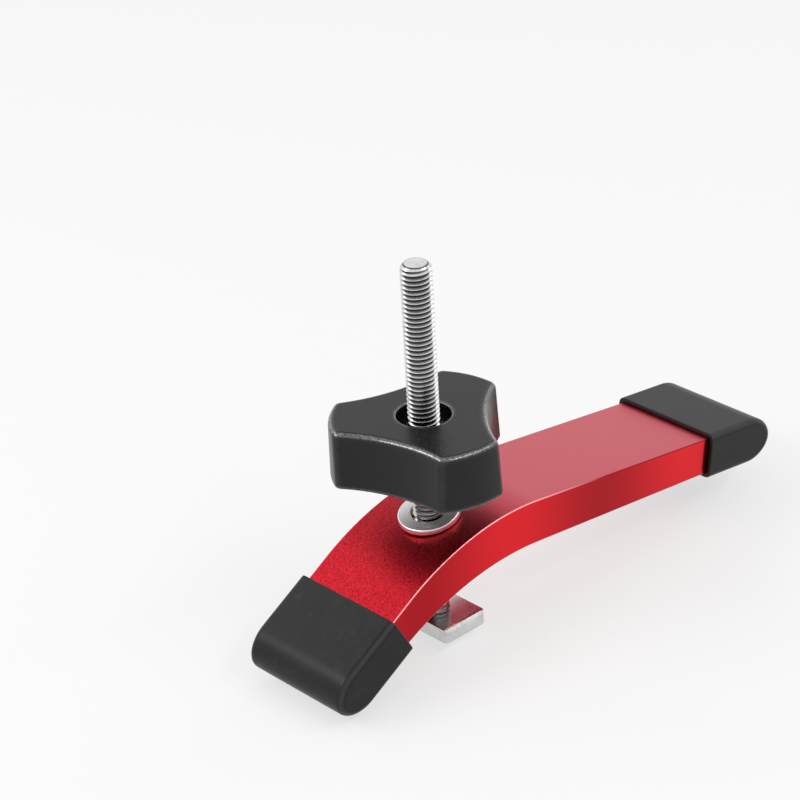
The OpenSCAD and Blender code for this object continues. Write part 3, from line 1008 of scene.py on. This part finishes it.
def make_head():
    """The T: a plate with its four corners and its two upper end edges bevelled."""
    bpy.ops.mesh.primitive_cube_add(size=1.0, location=(0.0, 0.0, HEAD_THICK / 2))
    head = bpy.context.object
    head.scale = (HEAD_WIDTH, HEAD_LENGTH, HEAD_THICK)
    settle(head)
    edit(head)
    pick("EDGE", lambda e: level(e, HEAD_THICK / 2))
    bpy.ops.mesh.bevel(offset=HEAD_BEVEL, segments=3, affect="EDGES")
    pick("EDGE", lambda e: level(e, HEAD_THICK) and abs(middle(e).y) > HEAD_LENGTH / 2 - CLOSE)
    bpy.ops.mesh.bevel(offset=HEAD_BEVEL, segments=3, affect="EDGES")
    deselect()
    apply_modifier(head, "BEVEL", width=HEAD_EDGE, segments=3, limit_method="ANGLE", angle_limit=ROUNDED)
    return head


reach = BOLT_TOP + HEAD_THICK
bpy.ops.mesh.primitive_cone_add(vertices=96, radius1=TOP_R + reach, radius2=TOP_R, depth=reach,
                                location=(0.0, 0.0, BOLT_TOP - reach / 2))
chamfer_cone = bpy.context.object
settle(chamfer_cone)
cut(thread, chamfer_cone, how="INTERSECT")
edit(thread)
merge_points(MERGE)
bpy.ops.mesh.dissolve_degenerate(threshold=MERGE)
deselect()
bolt = join(make_head(), thread)
smooth(bolt, THREAD_SMOOTH)
finish_piece(bolt, bolt_finish, "bolt_threaded", "t_bolt", "t_bolt")

# %% [markdown]
# The washer is stamped from sheet: the punch draws its upper edges round and leaves the lower ones
# crisp. It lies on the slope of the bend where the bolt comes through, so it is modelled level and then
# tipped with the slope.

# %% Make the washer
WASHER_R = 8.0 * MM
WASHER_BORE_R = 4.5 * MM
WASHER_THICK = 1.6 * MM
WASHER_DRAWN = 0.35 * MM
WASHER_CRISP = 0.12 * MM
SEAT_GAP = 0.2 * MM
SEAT_TILT = atan2(CREST_X, (BEND_R ** 2 - CREST_X ** 2) ** 0.5)
SEAT_Z = TOP_CENTRE.y + BEND_R * cos(SEAT_TILT)

bpy.ops.mesh.primitive_cylinder_add(vertices=128, radius=WASHER_R, depth=WASHER_THICK,
                                    location=(0.0, 0.0, WASHER_THICK / 2))
washer = bpy.context.object
settle(washer)
bpy.ops.mesh.primitive_cylinder_add(vertices=128, radius=WASHER_BORE_R, depth=4 * WASHER_THICK)
cut(washer, bpy.context.object)
edit(washer)
for height, radius in ((WASHER_THICK, WASHER_DRAWN), (0.0, WASHER_CRISP)):
    pick("EDGE", lambda e, height=height: level(e, height) and sharp(e))
    bpy.ops.mesh.bevel(offset=radius, segments=4, affect="EDGES")
deselect()
shift = (SEAT_GAP + WASHER_THICK / 2) * tan(SEAT_TILT)
washer.matrix_world = (Matrix.Translation((0.0, 0.0, SEAT_Z)) @ Matrix.Rotation(-SEAT_TILT, 4, "Y")
                       @ Matrix.Translation((shift, 0.0, SEAT_GAP)))
settle(washer)
smooth(washer)
finish_piece(washer, washer_finish, "washer_stamped", "washer", "washer")

# %% [markdown]
# The knob is moulded in a black filled plastic. Its skin is satin with a faint orange peel. The round
# rims that fingers touch are polished in specks and under a gloss of their own, which makes them glint
# where a lamp stands right. Their lighter colour in specks is partly wear and partly a painted highlight.

# %% Black plastic finish
PLASTIC_DARK = (0.004, 0.004, 0.004)
PLASTIC_GREY = (0.012, 0.012, 0.012)
# Rubbed rims, partly wear and partly a painted highlight.
PLASTIC_RUBBED_AND_SHEEN = (0.080, 0.080, 0.078)
PLASTIC_ROUGH = (0.22, 0.36)


def make_plastic_finish():
    """Satin black plastic with a moulded grain, and polished rims painted lighter in specks, partly wear
    and partly a painted highlight.
    """
    made, nodes, links, shader = new_material(
        "black moulded plastic", Specular_IOR_Level=0.27, Coat_Roughness=0.14, Coat_IOR=2.0)
    grain = use_group(nodes, GRAIN, Speck_mm=0.55, Cloud_mm=9.0, Cloud_share=0.4)
    worn = use_group(nodes, WEAR, Radius_mm=1.5, Break_up_mm=0.9, Strength=1.6)
    # The rounded rims are painted lighter in specks, partly wear and partly a painted highlight, and carry
    # a gloss of their own.
    rim = band(nodes, links, facing(nodes, links, "Z"), (0.35, 0.6), (0.86, 0.95))
    speckled = spread(nodes, links, grain.outputs["Specks"], 0.3, 1.0, 0.35, 0.60)
    rim_wear_and_gleam = calculate(nodes, links, "MULTIPLY", rim, speckled)
    polish_and_painted_gleam = calculate(nodes, links, "MAXIMUM", rim_wear_and_gleam, worn.outputs["Mask"])
    tone = mix_colour(nodes, links, grain.outputs["Both"], PLASTIC_DARK, PLASTIC_GREY)
    links.new(mix_colour(nodes, links, polish_and_painted_gleam, tone, PLASTIC_RUBBED_AND_SHEEN), shader.inputs["Base Color"])
    links.new(polish_and_painted_gleam, shader.inputs["Coat Weight"])
    links.new(spread(nodes, links, grain.outputs["Both"], *PLASTIC_ROUGH), shader.inputs["Roughness"])
    add_bump(nodes, links, shader, grain.outputs["Specks"], strength=0.5, depth_mm=0.10)
    return made


plastic_finish = make_plastic_finish()
print(plastic_finish.name, "has", len(plastic_finish.node_tree.nodes), "nodes")

# %% [markdown]
# Seen from above, the knob's outline is three arcs that repeat: a lobe, a round corner and a hollow.
# A point is spun along them from the middle of a lobe to the middle of a hollow, that sixth is mirrored,
# and the third is copied round. The same drawing serves the foot, the top and the cored underside,
# because the mould's draft only changes the radii with the height.

# %% Draw the knob's outline
KNOB_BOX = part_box("knob")
KNOB_FOOT = KNOB_BOX[0][2]
KNOB_HEIGHT = KNOB_BOX[1][2] - KNOB_FOOT
KNOB_R = 24.0 * MM
KNOB_TURN = radians(16.0)
LOBE_DRAFT = radians(1.0)
HOLLOW_R = 44.0 * MM
HOLLOW_DRAFT = radians(3.0)
WAIST_R = 16.4 * MM
LOBE_CORNER = 2.2 * MM
LOBE_STEPS = 12
CORNER_STEPS = 10
HOLLOW_STEPS = 20
OUTLINE_MERGE = 0.005 * MM
SIXTH = radians(60)


def spin_point(centre, steps, angle):
    """Draw an arc from the selected point, anticlockwise from above for a positive angle."""
    bpy.ops.mesh.spin(steps=steps, angle=-angle,
                      center=(centre.x, centre.y, 0.0), axis=(0.0, 0.0, 1.0))


def draw_knob_outline(height, wall, corner):
    """The outline at a height above the foot, drawn in by a wall, as a closed loop of edges."""
    lobe = KNOB_R - height * tan(LOBE_DRAFT) - wall
    hollow = HOLLOW_R + wall
    hollow_at = WAIST_R + HOLLOW_R - height * tan(HOLLOW_DRAFT)
    near = lobe - corner
    far = hollow + corner
    lead = acos((near ** 2 + hollow_at ** 2 - far ** 2) / (2 * near * hollow_at))
    corner_centre = near * Vector((cos(SIXTH - lead), sin(SIXTH - lead)))
    hollow_centre = hollow_at * Vector((cos(SIXTH), sin(SIXTH)))
    across = hollow_centre - corner_centre
    swing = atan2(across.y, across.x)
    bpy.ops.mesh.primitive_circle_add(vertices=3, radius=MM, location=(lobe, 0.0, 0.0))
    drawing = bpy.context.object
    settle(drawing)
    edit(drawing)
    pick("VERT", lambda v: True)
    bpy.ops.mesh.merge(type="CENTER")
    spin_point(Vector((0.0, 0.0)), LOBE_STEPS, SIXTH - lead)
    spin_point(corner_centre, CORNER_STEPS, swing - SIXTH + lead)
    spin_point(hollow_centre, HOLLOW_STEPS, SIXTH - swing)
    select_whole()
    bpy.ops.mesh.duplicate()
    bpy.ops.transform.resize(value=(1.0, -1.0, 1.0), center_override=(0.0, 0.0, 0.0))
    select_whole()
    bpy.ops.mesh.spin(steps=3, angle=2 * pi, dupli=True, center=(0.0, 0.0, 0.0), axis=(0.0, 0.0, 1.0))
    merge_points(OUTLINE_MERGE)
    bpy.ops.transform.translate(value=(0.0, 0.0, height))
    deselect()
    return drawing


foot_outline = draw_knob_outline(0.0, 0.0, LOBE_CORNER)
top_outline = draw_knob_outline(KNOB_HEIGHT, 0.0, LOBE_CORNER)
print("outlines of", len(foot_outline.data.edges), "and", len(top_outline.data.edges), "edges")

# %% [markdown]
# The outlines of the foot and the top have as many points as each other, so bridging them skins the
# drafted wall in one move. Both ends are then filled and their borders bevelled: wide at the top, where
# fingers hold the knob, and narrow at the foot.

# %% Skin the knob and round its rim
RIM_R = 1.6 * MM
RIM_STEPS = 7
FOOT_EDGE = 0.4 * MM
FOOT_STEPS = 3

knob = join(foot_outline, top_outline)
edit(knob)
select_whole()
bpy.ops.mesh.bridge_edge_loops()
for height in (0.0, KNOB_HEIGHT):
    pick("EDGE", lambda e, height=height: level(e, height))
    bpy.ops.mesh.edge_face_add()
face_outwards()
for height, radius, steps in ((KNOB_HEIGHT, RIM_R, RIM_STEPS), (0.0, FOOT_EDGE, FOOT_STEPS)):
    pick("EDGE", lambda e, height=height: level(e, height) and sharp(e))
    bpy.ops.mesh.bevel(offset=radius, segments=steps, affect="EDGES", clamp_overlap=False)
deselect()
print("knob skin of", len(knob.data.polygons), "faces")

# %% [markdown]
# A thick moulding would sink as it cools, so the underside is cored out. What stays is a wall of even
# thickness, a hub for the threaded insert, and ribs from the hub to the wall. The core is one tool: the
# outline drawn in by the wall and pushed up, with the hub and the ribs taken off it.

# %% Core out the knob and bore it
KNOB_WALL = 2.4 * MM
KNOB_ROOF = 3.0 * MM
CORE_DEPTH = KNOB_HEIGHT - KNOB_ROOF
CORE_CORNER = 1.2 * MM
HUB_R = 9.5 * MM
RIB_THICK = 2.0 * MM
RIB_RISE = 1.0 * MM
RIB_ASIDE = 2 * HUB_R / 3
INSERT_LENGTH = 9.5 * MM
INSERT_R = 6.05 * MM
HOLE_R = 6.9 * MM
HOLE_EDGE = 0.4 * MM
CLEAR = 1.0 * MM


def add_drum(radius, low, high):
    """A cylinder on the knob's axis between two heights above the foot."""
    bpy.ops.mesh.primitive_cylinder_add(vertices=96, radius=radius, depth=high - low,
                                        location=(0.0, 0.0, (low + high) / 2))
    drum = bpy.context.object
    settle(drum)
    return drum


def add_rib(heading, aside):
    """A rib from the axis outwards, at a heading and set aside from the middle line."""
    depth = CORE_DEPTH + CLEAR
    bpy.ops.mesh.primitive_cube_add(size=1.0)
    rib = bpy.context.object
    rib.scale = (KNOB_R, RIB_THICK, depth)
    settle(rib)
    rib.matrix_world = (Matrix.Rotation(heading, 4, "Z")
                        @ Matrix.Translation((KNOB_R / 2, aside, RIB_RISE + depth / 2)))
    settle(rib)
    return rib


core = draw_knob_outline(CORE_DEPTH, KNOB_WALL, CORE_CORNER)
edit(core)
select_whole()
bpy.ops.mesh.edge_face_add()
bpy.ops.mesh.extrude_region_move(TRANSFORM_OT_translate={"value": (0.0, 0.0, -CORE_DEPTH - CLEAR)})
face_outwards()
deselect()
cut(core, add_drum(HUB_R, -2 * CLEAR, KNOB_HEIGHT))
for third in range(3):
    lobe_heading = 2 * third * SIXTH
    cut(core, add_rib(lobe_heading, 0.0))
    cut(core, add_rib(lobe_heading + SIXTH, 0.0))
    cut(core, add_rib(lobe_heading, RIB_ASIDE))
    cut(core, add_rib(lobe_heading, -RIB_ASIDE))
cut(knob, core)
cut(knob, add_drum(INSERT_R, -CLEAR, INSERT_LENGTH))
cut(knob, add_drum(HOLE_R, INSERT_LENGTH, KNOB_HEIGHT + CLEAR))
edit(knob)
pick("EDGE", lambda e: level(e, KNOB_HEIGHT) and sharp(e) and middle(e).xy.length < HOLE_R + CLEAR)
bpy.ops.mesh.bevel(offset=HOLE_EDGE, segments=4, affect="EDGES")
deselect()
knob.matrix_world = Matrix.Translation((0.0, 0.0, KNOB_FOOT)) @ Matrix.Rotation(KNOB_TURN, 4, "Z")
settle(knob)
smooth(knob)
finish_piece(knob, plastic_finish, "knob_lobed", "knob", "knob")

# %% [markdown]
# The threaded insert sits in the knob's hub and shows only as a dark ring at the bottom of the hole and
# from below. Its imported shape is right, so it stays and gets a finish of its own: turned brass, gone
# brown.

# %% Brass finish for the insert
BRASS = (0.42, 0.27, 0.09)
BRASS_BROWN = (0.12, 0.075, 0.03)
BRASS_ROUGH = (0.35, 0.55)


def make_brass_finish():
    """Turned brass with brown patches."""
    made, nodes, links, shader = new_material("browned brass", Metallic=1.0)
    grain = use_group(nodes, GRAIN, Speck_mm=0.3, Cloud_mm=3.0, Cloud_share=0.6)
    mask = spread(nodes, links, grain.outputs["Both"], 0.0, 1.0, 0.3, 0.7)
    links.new(mix_colour(nodes, links, mask, BRASS_BROWN, BRASS), shader.inputs["Base Color"])
    links.new(spread(nodes, links, grain.outputs["Both"], *BRASS_ROUGH), shader.inputs["Roughness"])
    add_bump(nodes, links, shader, grain.outputs["Specks"], strength=0.2, depth_mm=0.03)
    return made


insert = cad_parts["knob_insert"]
put_finish(insert, make_brass_finish())
print("insert:", [slot.material.name for slot in insert.material_slots])

# %% [markdown]
# The last cell prints a closing line.

# %% End
print("done")
